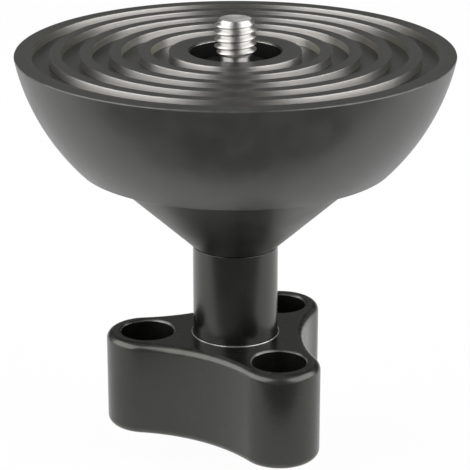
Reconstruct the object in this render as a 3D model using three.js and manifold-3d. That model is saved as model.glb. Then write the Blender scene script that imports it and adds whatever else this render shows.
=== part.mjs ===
// Half ball adapter for a tripod bowl. A grooved section of a ball carries the head on a camera
// screw, and a cone drawn up by a three-lobed hand knob grips the bowl from below.
// Millimetres, +Z up. The origin is on the turning axis, at the flat underside of the knob.

import * as THREE from 'three';
import { mergeVertices } from 'three/addons/utils/BufferGeometryUtils.js';
import Module from 'manifold-3d';

const wasm = await Module();
wasm.setup();

// Ball
const ballRadius = 50;
const ballCentreRise = 9.5;
const ballFootAngle = THREE.MathUtils.degToRad(44.267);
const rimBreak = 0.4;
const grooveCount = 5;
const grooveWidth = 4;
const grooveDepth = 2;
const outerLand = 3.8;
const centreLand = 4.6;
const wellRadius = 10.2;
const wellDepth = 6.6;
const wellBreak = 0.35;
const plateThickness = 9;
const webThickness = 6.4;
const bossRadius = 15;
const lowerEdgeWall = 2.6;
const pocketCorner = 3;

// Draw stud and the fasteners that hold it in the ball
const studRadius = 6;
const studHoleClearance = 0.2;
const studHeadRadius = 7.4;
const studHeadDrop = 2.75;
const studEndChamfer = 1;
const studEndGap = 1;
const washerRadius = 12;
const washerThickness = 2;
const lockWasherRadius = 10.5;
const lockWasherThickness = 2;
const lockWasherSlit = 1.5;
const lockWasherSlant = THREE.MathUtils.degToRad(25);
const washerClearance = 0.3;
const nutAcrossFlats = 18;
const nutThickness = 6;
const nutChamfer = 0.8;

// Camera screw, three eighths of an inch with sixteen threads to the inch
const screwMajorRadius = 4.7;
const screwPitch = 25.4 / 16;
const screwStandOut = 9.95;
const screwTopRadius = 3.5;
const screwNeckRadius = 3.25;
const screwNeckHeight = 2;
const screwSeatDepth = 14;
const screwSeatClearance = 0.08;
const screwEndGap = 0.5;
const threadHeightShare = 0.6134;
const threadRootShare = 0.25;
const threadCrestShare = 0.125;
const screwGrubRadius = 1.2;
const screwGrubLength = 2.2;

// Clamp cone
const coneHeight = 21.2;
const coneRimClearance = 1.5;
const coneRimBand = 0.8;
const coneFootLip = 0.13;
const coneBoreClearance = 0.5;
const hubRadius = 10;
const hubRise = 1;
const stopGap = 0.2;
const bushRadius = 7.8;
const bushLength = 12;
const bushFit = 0.06;
const bushRunningClearance = 0.1;
const thrustWasherRadius = 8.6;
const thrustWasherThickness = 1.2;
const thrustRecessFit = 0.15;
const coneStandOff = 0.2;

// Sleeve of the knob
const sleeveRadius = 9.77;
const sleeveLength = 21.6;
const sleeveBreak = 0.3;
const sleeveFloor = 6.8;
const sleeveBoreClearance = 0.6;
const insertRadius = 8;
const insertLength = 14;
const insertFit = 0.06;
const insertThreadClearance = 0.1;

// Three-lobed knob
const knobHeight = 22.8;
const knobRound = 1.8;
const lobeCount = 3;
const lobeCentreRadius = 20.9;
const lobeRadius = 9.15;
const lobeTurn = THREE.MathUtils.degToRad(-61.4);
const flankRadius = 37;
const lobeHoleCentreRadius = 20.5;
const lobeHoleRadius = 6.2;
const lobeHoleBreak = 0.4;
const seatDepth = 12.6;
const seatFit = 0.08;
const seatBreak = 0.35;
const seatFloor = 3;

// Screw and grub screw that fix the knob to its sleeve
const knobScrewRadius = 3;
const knobScrewReach = 5.8;
const knobScrewHeadRadius = 5;
const knobScrewHeadHeight = 4;
const knobScrewSocket = 4;
const knobScrewSocketDepth = 2.2;
const knobScrewClearance = 0.3;
const knobWasherRadius = 6;
const knobWasherThickness = 1.6;
const counterboreClearance = 1.5;
const knobGrubRadius = 2.5;
const knobGrubLength = 4.6;
const knobGrubDrop = 6.3;
const grubFit = 0.1;
const grubSocketShare = 0.5;
const grubSocketDepthShare = 0.45;

// Shared by the cuts and the small edges
const overrun = 1;
const smallBreak = 0.3;

// How finely round forms are cut into flats
const largeSegments = 56;
const smallSegments = 32;
const ballArcSteps = 9;
const cornerSteps = 3;
const lobeArcSteps = 14;
const flankArcSteps = 7;
const knobRoundSteps = 3;
const threadSegments = 24;

// Heights above the underside of the knob, from the knob up to the top face of the ball
const seatFloorTop = knobHeight - seatDepth;
const counterboreDepth = seatFloorTop - seatFloor;
const sleeveTop = knobHeight + sleeveLength;
const coneFoot = sleeveTop + coneStandOff;
const coneTop = coneFoot + coneHeight;
const hubTop = coneTop + hubRise;
const nutFoot = hubTop + stopGap;
const lockWasherFoot = nutFoot + nutThickness;
const washerFoot = lockWasherFoot + lockWasherThickness;
const webFoot = washerFoot + washerThickness;
const wellFloor = webFoot + webThickness;
const topFace = wellFloor + wellDepth;
const studHeadTop = topFace - studHeadDrop;
const studFoot = seatFloorTop + sleeveFloor + studEndGap;

// Other sizes that follow from the ones above
const ballHeight = ballRadius * Math.sin(ballFootAngle) - ballCentreRise;
const rimRadius = Math.sqrt(ballRadius ** 2 - ballCentreRise ** 2);
const ballFootRadius = ballRadius * Math.cos(ballFootAngle);
const pocketRadius = ballFootRadius - lowerEdgeWall;
const coneRimRadius = pocketRadius - coneRimClearance;
const coneFootRadius = sleeveRadius + coneFootLip;
const studHoleRadius = studRadius + studHoleClearance;
const sleeveBoreRadius = studRadius + sleeveBoreClearance;
const seatRadius = sleeveRadius + seatFit;
const lobePitch = (2 * Math.PI) / lobeCount;
const knobGrubTurn = lobePitch + lobePitch / 2;

// Reads a closed three.js geometry as a solid that can be joined and cut.
function solidOf(geometry) {
  const bare = geometry.clone();
  bare.deleteAttribute('normal');
  bare.deleteAttribute('uv');
  const merged = mergeVertices(bare);
  const index = merged.index.array;
  const kept = [];
  for (let i = 0; i < index.length; i += 3) {
    const [a, b, c] = [index[i], index[i + 1], index[i + 2]];
    if (a !== b && b !== c && c !== a) kept.push(a, b, c);
  }
  const vertProperties = Float32Array.from(merged.attributes.position.array);
  return new wasm.Manifold(new wasm.Mesh({ numProp: 3, vertProperties, triVerts: Uint32Array.from(kept) }));
}

// Gives a joined or cut solid back as a geometry.
function geometryOf(solid) {
  const { vertProperties, triVerts } = solid.getMesh();
  const geometry = new THREE.BufferGeometry();
  geometry.setAttribute('position', new THREE.BufferAttribute(Float32Array.from(vertProperties), 3));
  geometry.setIndex(new THREE.BufferAttribute(Uint32Array.from(triVerts), 1));
  geometry.computeVertexNormals();
  return geometry;
}

// Turns an outline of [radius, height] points about Z. The outline runs against the clock and
// either starts and ends on the axis or is closed on itself here.
function turned(outline, segments = smallSegments) {
  const points = outline.map(([radius, height]) => new THREE.Vector2(radius, height));
  if (points[0].x > 0) points.push(points[0].clone());
  return new THREE.LatheGeometry(points, segments).rotateX(Math.PI / 2);
}

// Points on a round stretch of an outline, both ends included.
function arc(centreX, centreY, radius, from, to, steps) {
  return Array.from({ length: steps + 1 }, (_, i) => {
    const angle = from + ((to - from) * i) / steps;
    return [centreX + radius * Math.cos(angle), centreY + radius * Math.sin(angle)];
  });
}

// A flat ring with broken outer edges.
function ring(outer, inner, height, edge = smallBreak, segments = smallSegments) {
  return turned(
    [[inner, 0], [outer - edge, 0], [outer, edge], [outer, height - edge], [outer - edge, height], [inner, height]],
    segments,
  );
}

// A plain round cutter or rod that stands on the XY plane.
function rod(radius, height, segments = smallSegments) {
  return turned([[0, 0], [radius, 0], [radius, height], [0, height]], segments);
}

// A hexagonal bar that stands on the XY plane.
function hexagon(acrossFlats, height) {
  const corner = acrossFlats / 2 / Math.cos(Math.PI / 6);
  const shape = new THREE.Shape();
  for (let i = 0; i < 6; i += 1) {
    const angle = (i * Math.PI) / 3;
    const draw = i === 0 ? 'moveTo' : 'lineTo';
    shape[draw](corner * Math.cos(angle), corner * Math.sin(angle));
  }
  return new THREE.ExtrudeGeometry(shape, { depth: height, bevelEnabled: false });
}

// Half ball: turned outside, ring grooves on top, a well for the stud head and a pocket below.
function halfBall() {
  const pitch = (rimRadius - outerLand - grooveWidth - wellRadius - centreLand) / (grooveCount - 1);
  const grooves = Array.from({ length: grooveCount }, (_, i) => {
    const outer = rimRadius - outerLand - i * pitch;
    const inner = outer - grooveWidth;
    return [[outer, 0], [outer, -grooveDepth], [inner, -grooveDepth], [inner, 0]];
  }).flat();
  const web = -(wellDepth + webThickness);
  const foot = Math.asin((smallBreak - ballHeight - ballCentreRise) / ballRadius);
  const rim = Math.asin(-(rimBreak + ballCentreRise) / ballRadius);
  const corner = arc(
    pocketRadius - pocketCorner, -plateThickness - pocketCorner, pocketCorner, Math.PI / 2, 0, cornerSteps);
  return turned([
    [studHoleRadius, web],
    [bossRadius, web],
    [bossRadius, -plateThickness],
    ...corner,
    [pocketRadius, -ballHeight],
    [ballFootRadius - smallBreak, -ballHeight],
    ...arc(0, ballCentreRise, ballRadius, foot, rim, ballArcSteps),
    [rimRadius - rimBreak, 0],
    ...grooves,
    [wellRadius + wellBreak, 0],
    [wellRadius, -wellBreak],
    [wellRadius, -wellDepth],
    [studHoleRadius, -wellDepth],
  ], largeSegments);
}

// Draw stud: a round head in the ball's well, a long threaded shank and a seat for the camera screw.
function drawStud() {
  const headHeight = studHeadTop - wellFloor;
  const seatRadiusInHead = screwMajorRadius + screwSeatClearance;
  const body = turned([
    [0, studFoot],
    [studRadius - studEndChamfer, studFoot],
    [studRadius, studFoot + studEndChamfer],
    [studRadius, wellFloor],
    [studHeadRadius, wellFloor],
    [studHeadRadius, studHeadTop - smallBreak],
    [studHeadRadius - smallBreak, studHeadTop],
    [seatRadiusInHead, studHeadTop],
    [seatRadiusInHead, studHeadTop - screwSeatDepth],
    [0, studHeadTop - screwSeatDepth],
  ]);
  const grubHole = rod(screwGrubRadius + grubFit, studHeadRadius + overrun)
    .rotateX(-Math.PI / 2)
    .translate(0, 0, wellFloor + headHeight / 2);
  return geometryOf(solidOf(body).subtract(solidOf(grubHole)));
}

// A rod with a helical thread, ragged at both ends and trimmed by the caller.
function threadedRod(majorRadius, pitch, from, to) {
  const rootRadius = majorRadius - threadHeightShare * pitch;
  const flankShare = (1 - threadRootShare - threadCrestShare) / 2;
  const steps = [
    [rootRadius, 0],
    [rootRadius, threadRootShare],
    [majorRadius, threadRootShare + flankShare],
    [majorRadius, 1 - flankShare],
  ];
  const perTurn = steps.length;
  const rows = perTurn * Math.ceil((to - from) / pitch + 2);
  const positions = [0, 0, from - 2 * pitch, 0, 0, to + 2 * pitch];
  const columns = [];
  for (let column = 0; column < threadSegments; column += 1) {
    const turn = column / threadSegments;
    const count = column === 0 ? rows + perTurn : rows;
    columns.push([]);
    for (let row = 0; row <= count; row += 1) {
      const [radius, share] = steps[row % perTurn];
      const angle = turn * 2 * Math.PI;
      const height = from - pitch + pitch * (Math.floor(row / perTurn) + share + turn);
      columns[column].push(positions.length / 3);
      positions.push(radius * Math.cos(angle), radius * Math.sin(angle), height);
    }
  }
  const index = [];
  for (let column = 0; column < threadSegments; column += 1) {
    const last = column === threadSegments - 1;
    const here = columns[column];
    const next = last ? columns[0].slice(perTurn) : columns[column + 1];
    for (let row = 0; row < rows; row += 1) {
      index.push(here[row], next[row], next[row + 1], here[row], next[row + 1], here[row + 1]);
    }
    index.push(0, next[0], here[0], 1, here[rows], next[rows]);
  }
  for (let row = 0; row < perTurn; row += 1) {
    index.push(0, columns[0][row], columns[0][row + 1]);
    index.push(1, columns[0][rows + row + 1], columns[0][rows + row]);
  }
  const geometry = new THREE.BufferGeometry();
  geometry.setAttribute('position', new THREE.Float32BufferAttribute(positions, 3));
  geometry.setIndex(index);
  return geometry;
}

// Camera screw: a seat inside the stud head, a plain neck and the thread above it. Height zero is
// the top of the stud head.
function mountScrew() {
  const rootRadius = screwMajorRadius - threadHeightShare * screwPitch;
  const envelope = turned([
    [0, screwNeckHeight],
    [rootRadius, screwNeckHeight],
    [screwMajorRadius, screwNeckHeight + screwMajorRadius - rootRadius],
    [screwMajorRadius, screwStandOut - screwMajorRadius + screwTopRadius],
    [screwTopRadius, screwStandOut],
    [0, screwStandOut],
  ]);
  const thread = solidOf(threadedRod(screwMajorRadius, screwPitch, screwNeckHeight, screwStandOut));
  const core = turned([
    [0, screwEndGap - screwSeatDepth],
    [screwMajorRadius - smallBreak, screwEndGap - screwSeatDepth],
    [screwMajorRadius, screwEndGap - screwSeatDepth + smallBreak],
    [screwMajorRadius, 0],
    [screwNeckRadius, 0],
    [screwNeckRadius, screwNeckHeight + screwPitch],
    [0, screwNeckHeight + screwPitch],
  ]);
  return geometryOf(thread.intersect(solidOf(envelope)).add(solidOf(core)));
}

// Set screw that stands on the XY plane, with a hexagonal socket in its upper end.
function grubScrew(radius, length) {
  const edge = radius * (1 - Math.cos(Math.PI / 6));
  const depth = length * grubSocketDepthShare;
  const body = turned([
    [0, 0],
    [radius - edge, 0],
    [radius, edge],
    [radius, length - edge],
    [radius - edge, length],
    [0, length],
  ]);
  const socket = hexagon(2 * radius * grubSocketShare, depth + overrun).translate(0, 0, length - depth);
  return geometryOf(solidOf(body).subtract(solidOf(socket)));
}

// Split spring washer with a slanted slit.
function lockWasher() {
  const body = ring(lockWasherRadius, studRadius + washerClearance, lockWasherThickness);
  const slit = new THREE.BoxGeometry(lockWasherRadius + overrun, lockWasherSlit, 3 * lockWasherThickness)
    .rotateX(lockWasherSlant)
    .translate((lockWasherRadius + overrun) / 2, 0, lockWasherThickness / 2);
  return geometryOf(solidOf(body).subtract(solidOf(slit)));
}

// Thin hexagonal nut with both faces chamfered.
function studNut() {
  const corner = nutAcrossFlats / 2 / Math.cos(Math.PI / 6);
  const shoulder = corner - nutAcrossFlats / 2 + nutChamfer;
  const envelope = turned([
    [0, 0],
    [corner - shoulder, 0],
    [corner, shoulder * Math.tan(Math.PI / 6)],
    [corner, nutThickness - shoulder * Math.tan(Math.PI / 6)],
    [corner - shoulder, nutThickness],
    [0, nutThickness],
  ]);
  const hole = rod(studRadius + washerClearance, nutThickness + 2 * overrun).translate(0, 0, -overrun);
  const blank = solidOf(hexagon(nutAcrossFlats, nutThickness)).intersect(solidOf(envelope));
  return geometryOf(blank.subtract(solidOf(hole)));
}

// Clamp cone: solid, with a raised hub that stops against the nut, a bore for the bush and a
// recess below for the thrust washer. Height zero is its small end.
function clampCone() {
  const boreRadius = studRadius + coneBoreClearance;
  const bushSeat = coneHeight + hubRise - bushLength;
  const recessDepth = thrustWasherThickness - coneStandOff + thrustRecessFit;
  const recessRadius = thrustWasherRadius + thrustRecessFit;
  return turned([
    [boreRadius, recessDepth],
    [recessRadius, recessDepth],
    [recessRadius, 0],
    [coneFootRadius, 0],
    [coneRimRadius, coneHeight - coneRimBand - smallBreak],
    [coneRimRadius, coneHeight - smallBreak],
    [coneRimRadius - smallBreak, coneHeight],
    [hubRadius, coneHeight],
    [hubRadius, coneHeight + hubRise],
    [bushRadius + bushFit, coneHeight + hubRise],
    [bushRadius + bushFit, bushSeat],
    [boreRadius, bushSeat],
  ], largeSegments);
}

// Sleeve: the visible stem, seated in the knob, with a through bore that is narrow at its floor,
// wide for the end of the stud and stepped again for the threaded insert.
function knobSleeve() {
  const foot = seatFloorTop;
  const insertSeat = sleeveTop - insertLength;
  return turned([
    [knobScrewRadius + screwSeatClearance, foot],
    [sleeveRadius - sleeveBreak, foot],
    [sleeveRadius, foot + sleeveBreak],
    [sleeveRadius, sleeveTop - sleeveBreak],
    [sleeveRadius - sleeveBreak, sleeveTop],
    [insertRadius + insertFit, sleeveTop],
    [insertRadius + insertFit, insertSeat],
    [sleeveBoreRadius, insertSeat],
    [sleeveBoreRadius, foot + sleeveFloor],
    [knobScrewRadius + screwSeatClearance, foot + sleeveFloor],
  ]);
}

// Plan of the knob: round lobes joined by hollow flanks, tangent where they meet.
function knobPlan() {
  const reach = flankRadius + lobeRadius;
  const halfPitch = lobePitch / 2;
  const across = lobeCentreRadius * Math.sin(halfPitch);
  const flankCentreRadius = lobeCentreRadius * Math.cos(halfPitch) + Math.sqrt(reach ** 2 - across ** 2);
  const lean = Math.asin(across / reach);
  const points = [];
  for (let i = 0; i < lobeCount; i += 1) {
    const lobe = i * lobePitch;
    const flank = lobe + halfPitch;
    const sweep = halfPitch + lean;
    const lobeX = lobeCentreRadius * Math.cos(lobe);
    const lobeY = lobeCentreRadius * Math.sin(lobe);
    const flankX = flankCentreRadius * Math.cos(flank);
    const flankY = flankCentreRadius * Math.sin(flank);
    const turnBack = flank + Math.PI;
    const hollow = arc(flankX, flankY, flankRadius, turnBack + lean, turnBack - lean, flankArcSteps);
    points.push(...arc(lobeX, lobeY, lobeRadius, lobe - sweep, lobe + sweep, lobeArcSteps));
    points.push(...hollow.slice(1, -1));
  }
  return new THREE.Shape(points.map(([x, y]) => new THREE.Vector2(x, y)));
}

// Knob: rounded edges top and bottom, three holes in the lobes, the seat for the sleeve, the
// counterbore for its screw and a side hole for the grub screw.
function triKnob() {
  const block = new THREE.ExtrudeGeometry(knobPlan(), {
    depth: knobHeight - 2 * knobRound,
    bevelThickness: knobRound,
    bevelSize: knobRound,
    bevelOffset: -knobRound,
    bevelSegments: knobRoundSteps,
  }).translate(0, 0, knobRound);
  const seat = turned([
    [0, -overrun],
    [knobWasherRadius + counterboreClearance, -overrun],
    [knobWasherRadius + counterboreClearance, counterboreDepth],
    [knobScrewRadius + knobScrewClearance, counterboreDepth],
    [knobScrewRadius + knobScrewClearance, seatFloorTop],
    [seatRadius, seatFloorTop],
    [seatRadius, knobHeight - seatBreak],
    [seatRadius + seatBreak + overrun, knobHeight + overrun],
    [0, knobHeight + overrun],
  ]);
  const wide = lobeHoleRadius + lobeHoleBreak + overrun;
  const lobeHole = turned([
    [0, -overrun],
    [wide, -overrun],
    [lobeHoleRadius, lobeHoleBreak],
    [lobeHoleRadius, knobHeight - lobeHoleBreak],
    [wide, knobHeight + overrun],
    [0, knobHeight + overrun],
  ]);
  const grubHole = rod(knobGrubRadius + grubFit, lobeCentreRadius)
    .rotateY(Math.PI / 2)
    .translate(0, 0, knobHeight - knobGrubDrop)
    .rotateZ(knobGrubTurn);
  let knob = solidOf(block).subtract(solidOf(seat)).subtract(solidOf(grubHole));
  for (let i = 0; i < lobeCount; i += 1) {
    const angle = i * lobePitch;
    const hole = lobeHole
      .clone()
      .translate(lobeHoleCentreRadius * Math.cos(angle), lobeHoleCentreRadius * Math.sin(angle), 0);
    knob = knob.subtract(solidOf(hole));
  }
  return geometryOf(knob);
}

// Low cap screw that points up, with its socket in the underside of the head. Height zero is the
// seat of the head.
function knobScrew() {
  const shank = knobWasherThickness + seatFloor + knobScrewReach;
  const body = turned([
    [0, -knobScrewHeadHeight],
    [knobScrewHeadRadius - smallBreak, -knobScrewHeadHeight],
    [knobScrewHeadRadius, smallBreak - knobScrewHeadHeight],
    [knobScrewHeadRadius, 0],
    [knobScrewRadius, 0],
    [knobScrewRadius, shank - smallBreak],
    [knobScrewRadius - smallBreak, shank],
    [0, shank],
  ]);
  const socket = hexagon(knobScrewSocket, knobScrewSocketDepth + overrun)
    .translate(0, 0, -knobScrewHeadHeight - overrun);
  return geometryOf(solidOf(body).subtract(solidOf(socket)));
}

// Colours and finishes as the photo shows them
const finishes = {
  blackAnodised: { color: 0x2a2a29, roughness: 0.42, metalness: 0.7 },
  blackOxide: { color: 0x1d1d1e, roughness: 0.5, metalness: 0.8 },
  stainless: { color: 0xc9c7c2, roughness: 0.25, metalness: 1 },
  zincPlated: { color: 0xa9abad, roughness: 0.35, metalness: 1 },
  brass: { color: 0xb08d4a, roughness: 0.35, metalness: 1 },
  acetal: { color: 0xd8d5cc, roughness: 0.55, metalness: 0 },
};

// One named piece with a material of its own, set down at a height.
function piece(name, geometry, finish, height = 0) {
  const mesh = new THREE.Mesh(geometry, new THREE.MeshStandardMaterial(finishes[finish]));
  mesh.name = name;
  mesh.position.z = height;
  return mesh;
}

const ball = new THREE.Group();
const screwGrub = piece(
  'screw_lock_grub', grubScrew(screwGrubRadius, screwGrubLength), 'blackOxide', (wellFloor + studHeadTop) / 2);
screwGrub.rotation.x = -Math.PI / 2;
screwGrub.position.y = screwMajorRadius + grubFit;
ball.add(
  piece('half_ball', halfBall(), 'blackAnodised', topFace),
  piece('draw_stud', drawStud(), 'blackOxide'),
  piece('mount_screw', mountScrew(), 'stainless', studHeadTop),
  screwGrub,
  piece('stud_washer', ring(washerRadius, studRadius + washerClearance, washerThickness), 'zincPlated', washerFoot),
  piece('stud_lock_washer', lockWasher(), 'zincPlated', lockWasherFoot),
  piece('stud_nut', studNut(), 'zincPlated', nutFoot),
);

const clamp = new THREE.Group();
const thrustBore = studRadius + washerClearance;
clamp.add(
  piece('clamp_cone', clampCone(), 'blackAnodised', coneFoot),
  piece('cone_bush', ring(bushRadius, studRadius + bushRunningClearance, bushLength), 'acetal', hubTop - bushLength),
  piece('thrust_washer', ring(thrustWasherRadius, thrustBore, thrustWasherThickness), 'acetal', sleeveTop),
);

const knob = new THREE.Group();
knob.rotation.z = lobeTurn;
const knobGrub = piece('knob_grub', grubScrew(knobGrubRadius, knobGrubLength), 'blackOxide', knobHeight - knobGrubDrop);
knobGrub.rotation.set(0, Math.PI / 2, knobGrubTurn, 'ZYX');
knobGrub.position.x = (sleeveRadius + grubFit) * Math.cos(knobGrubTurn);
knobGrub.position.y = (sleeveRadius + grubFit) * Math.sin(knobGrubTurn);
const insertBore = studRadius + insertThreadClearance;
knob.add(
  piece('tri_knob', triKnob(), 'blackAnodised'),
  piece('knob_sleeve', knobSleeve(), 'blackAnodised'),
  piece('sleeve_insert', ring(insertRadius, insertBore, insertLength), 'brass', sleeveTop - insertLength),
  knobGrub,
  piece(
    'knob_washer', ring(knobWasherRadius, knobScrewRadius + knobScrewClearance, knobWasherThickness), 'zincPlated',
    counterboreDepth - knobWasherThickness),
  piece('knob_screw', knobScrew(), 'stainless', counterboreDepth - knobWasherThickness),
);

const adapter = new THREE.Group();
adapter.add(ball, clamp, knob);

export default adapter;
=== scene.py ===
"""Looks of a tripod half ball adapter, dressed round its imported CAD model.

Lengths are metres in the frame of the CAD model: the origin is on the turning axis, at the flat
underside of the knob, and +Z points up through the camera screw. Heights are read from the CAD
nodes, so each piece sits where its solid sits.
"""

import logging
import math
from collections.abc import Callable, Sequence
from dataclasses import dataclass
from enum import Enum
from functools import cache

import bmesh
import bpy
from mathutils import Matrix, Vector


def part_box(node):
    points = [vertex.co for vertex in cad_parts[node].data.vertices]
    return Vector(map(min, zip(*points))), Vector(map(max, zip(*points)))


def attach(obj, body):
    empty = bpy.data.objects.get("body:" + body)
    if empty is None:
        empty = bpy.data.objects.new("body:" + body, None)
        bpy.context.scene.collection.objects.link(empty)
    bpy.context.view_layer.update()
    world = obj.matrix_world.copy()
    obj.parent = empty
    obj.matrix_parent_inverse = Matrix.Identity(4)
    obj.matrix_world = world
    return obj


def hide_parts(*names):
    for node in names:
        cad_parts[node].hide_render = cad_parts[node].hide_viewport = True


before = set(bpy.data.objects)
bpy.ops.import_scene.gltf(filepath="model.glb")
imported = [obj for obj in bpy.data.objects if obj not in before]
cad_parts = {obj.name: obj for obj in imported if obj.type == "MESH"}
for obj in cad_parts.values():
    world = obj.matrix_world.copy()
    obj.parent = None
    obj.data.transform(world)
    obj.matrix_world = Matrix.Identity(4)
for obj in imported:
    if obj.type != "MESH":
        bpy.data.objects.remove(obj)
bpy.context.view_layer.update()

log = logging.getLogger("half_ball_adapter")

MM = 0.001
FULL_TURN = 2 * math.pi
QUARTER_TURN = math.pi / 2

# Points that lie nearer to each other than this are one point.
WELD = 1e-7

# Faces that meet at a greater angle than this have a sharp edge between them.
SHARP = math.radians(28)

# The attribute that tells how far the finish has worn off, from 0 to 1.
RUB = "rub"

Colour = tuple[float, float, float]
Point = tuple[float, float]
Span = tuple[float, float]
BMesh = bmesh.types.BMesh
Face = bmesh.types.BMFace
Edge = bmesh.types.BMEdge
Vert = bmesh.types.BMVert
Socket = bpy.types.NodeSocket
Sockets = bpy.types.bpy_prop_collection


class Slot(Enum):
    """Material slots of the record."""

    ANODISED = "black_anodised_aluminium"
    OXIDE = "black_oxide_steel"
    STAINLESS = "stainless_steel"
    ZINC = "zinc_plated_steel"
    BRASS = "brass"
    ACETAL = "acetal"


class Body(Enum):
    """Bodies of the CAD model that move as one."""

    BALL = "ball"
    CLAMP = "clamp"
    KNOB = "knob"


class Marks(Enum):
    """What the tools left in a surface."""

    TURNED = "rings round the vertical axis"
    GRAINED = "an even grain"


def low(node: str) -> float:
    """Lowest height of a CAD node."""
    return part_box(node)[0].z


def high(node: str) -> float:
    """Highest height of a CAD node."""
    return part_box(node)[1].z


@dataclass(frozen=True)
class Grains:
    """How a noise is made up.

    Attributes:
        size: Size of its grains, as a share of the size that the noise is given.
        detail: How many finer layers it has.
        roughness: How strong the finer layers are.
    """

    size: float
    detail: float
    roughness: float


FINE_RINGS = Grains(1.0, 2.0, 0.6)
BROAD_RINGS = Grains(9.0, 1.0, 0.5)
FINE_GRAINS = Grains(1.0, 3.0, 0.65)
CLOUDS = Grains(60.0, 2.0, 0.5)
PATCHES = Grains(1.0, 3.0, 0.6)


class Wiring:
    """Adds nodes to one shader tree and joins them."""

    def __init__(self, tree: bpy.types.NodeTree) -> None:
        """Empties the tree."""
        self.tree = tree
        self.tree.nodes.clear()

    def add(self, kind: str, inputs: dict[str | int, object] | None = None, **settings: object) -> Sockets:
        """Adds a node, sets its properties and feeds its inputs.

        Args:
            kind: The node's type name.
            inputs: Names or numbers of its inputs, and another node's output or a constant for each.
            settings: Property names of the node and their values.

        Returns:
            Its outputs.
        """
        node = self.tree.nodes.new(kind)
        for name, value in settings.items():
            setattr(node, name, value)
        for name, value in (inputs or {}).items():
            if isinstance(value, Socket):
                self.tree.links.new(value, node.inputs[name])
            else:
                node.inputs[name].default_value = value
        return node.outputs

    def math(self, operation: str, *values: object) -> Socket:
        """Adds a maths node on sockets or numbers."""
        return self.add("ShaderNodeMath", dict(enumerate(values)), operation=operation)[0]

    def product(self, first: Socket, *factors: object) -> Socket:
        """Multiplies values with one another."""
        for factor in factors:
            first = self.math("MULTIPLY", first, factor)
        return first

    def mean(self, first: Socket, second: Socket, share: float = 0.5) -> Socket:
        """Averages two values, of which the second counts for its share."""
        return self.math("ADD", self.product(first, 1 - share), self.product(second, share))

    def mix(self, share: Socket, first: object, second: object) -> Socket:
        """Mixes two colours, of which the second shows as far as its share."""
        colours = {"Factor": share, "A": first, "B": second}
        return self.add("ShaderNodeMix", colours, data_type="RGBA")["Result"]

    def blend(self, share: Socket, first: Socket, second: Socket) -> Socket:
        """Mixes two shaders, of which the second shows as far as its share."""
        return self.add("ShaderNodeMixShader", {0: share, 1: first, 2: second})[0]

    def ramp(self, value: Socket, start: float, end: float) -> Socket:
        """Makes a mask that rises from 0 where the value is start to 1 where it is end."""
        ends = {"Value": value, "From Min": start, "From Max": end}
        return self.add("ShaderNodeMapRange", ends, interpolation_type="SMOOTHSTEP")["Result"]

    def noise(self, place: Socket, size: object, grains: Grains) -> Socket:
        """Adds a noise.

        Args:
            place: The vector that the noise is read at, in metres.
            size: Size of a plain grain in metres, a number or a socket.
            grains: How the noise is made up.

        Returns:
            The noise, about 0.5 on average.
        """
        scale = self.math("DIVIDE", 1.0, self.math("MULTIPLY", size, grains.size))
        inputs = {"Vector": place, "Scale": scale, "Detail": grains.detail, "Roughness": grains.roughness}
        return self.add("ShaderNodeTexNoise", inputs, noise_dimensions="3D")["Fac"]

    def group(self, tree: bpy.types.NodeTree, **inputs: object) -> Sockets:
        """Adds a node group and feeds its inputs."""
        return self.add("ShaderNodeGroup", inputs, node_tree=tree)

    def show(self, shader: Socket, kind: str = "ShaderNodeOutputMaterial") -> None:
        """Joins a shader to the output that is seen."""
        self.add(kind, {"Surface": shader})


class GroupWiring(Wiring):
    """Wiring of a node group that takes a place and numbers, and puts out numbers."""

    def __init__(self, name: str, *inputs: str) -> None:
        """Starts the group.

        Args:
            name: Its name.
            inputs: Names of the numbers that it takes beside the place.
        """
        super().__init__(bpy.data.node_groups.new(name, "ShaderNodeTree"))
        self.tree.interface.new_socket("Place", in_out="INPUT", socket_type="NodeSocketVector")
        for label in inputs:
            self.tree.interface.new_socket(label, in_out="INPUT", socket_type="NodeSocketFloat")
        self.entry = self.add("NodeGroupInput")

    def finished(self, **results: Socket) -> bpy.types.NodeTree:
        """Ends the group.

        Args:
            results: Names of the numbers that it puts out, and a socket for each.

        Returns:
            The group.
        """
        for label in results:
            self.tree.interface.new_socket(label, in_out="OUTPUT", socket_type="NodeSocketFloat")
        self.add("NodeGroupOutput", results)
        return self.tree


def grey(level: float) -> tuple[float, float, float, float]:
    """A grey with its alpha."""
    return (level, level, level, 1.0)


def wired_material(name: str) -> tuple[bpy.types.Material, Wiring]:
    """Starts a node material.

    Args:
        name: Its name.

    Returns:
        The material and its wiring.
    """
    material = bpy.data.materials.new(name)
    material.use_nodes = True
    return material, Wiring(material.node_tree)


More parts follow.
